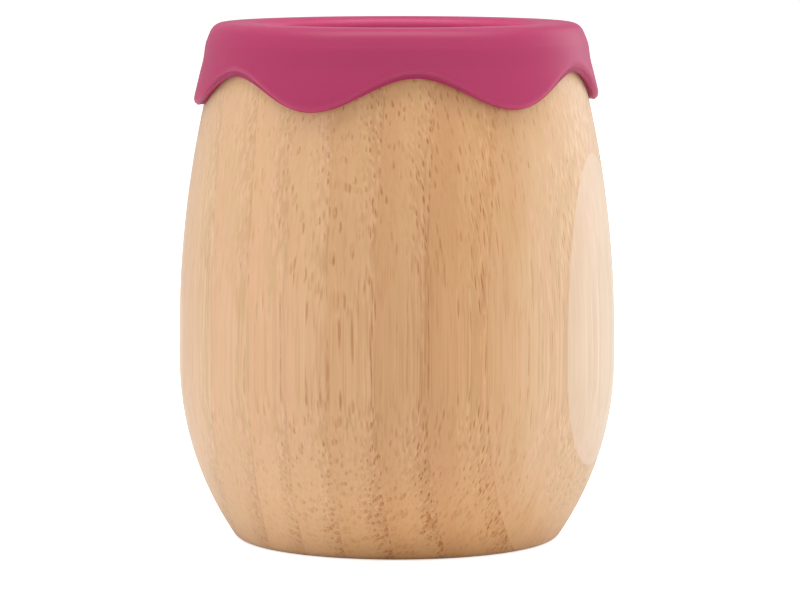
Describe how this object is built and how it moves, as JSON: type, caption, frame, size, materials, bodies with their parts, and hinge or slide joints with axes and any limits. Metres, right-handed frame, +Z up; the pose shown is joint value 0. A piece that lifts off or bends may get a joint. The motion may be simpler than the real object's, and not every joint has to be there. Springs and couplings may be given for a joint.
{
  "type": "bamboo cup",
  "caption": "Small barrel-shaped bamboo drinking cup with a lift-out silicone liner whose lip folds over the rim in a wavy skirt.",
  "frame": {"origin": "centre of the round standing face, on the table plane", "axes": "+Z up along the cup's axis; -Y is the front, the side that the picture was taken from, and +X is to its right"},
  "size_m": [0.07, 0.07, 0.083],
  "materials": {
    "bamboo_light": "fine-sanded bamboo, light natural, satin",
    "bamboo_warm": "fine-sanded bamboo, warm natural, satin",
    "bamboo_pale": "fine-sanded bamboo, pale natural, satin",
    "silicone": "food-grade silicone rubber, raspberry pink, satin"
  },
  "bodies": {
    "shell": {"bamboo_strip_01": "bamboo_light", "bamboo_strip_02": "bamboo_light", "bamboo_strip_03": "bamboo_warm", "bamboo_strip_04": "bamboo_light", "bamboo_strip_05": "bamboo_warm", "bamboo_strip_06": "bamboo_warm", "bamboo_strip_07": "bamboo_light", "bamboo_strip_08": "bamboo_warm", "bamboo_strip_09": "bamboo_warm", "bamboo_strip_10": "bamboo_pale"},
    "liner": {"silicone_liner": "silicone"}
  },
  "joints": [
    {"name": "liner_lift", "type": "slide", "parent": "shell", "child": "liner", "axis": [0, 0, 1], "range_m": [0, 0.085]}
  ]
}
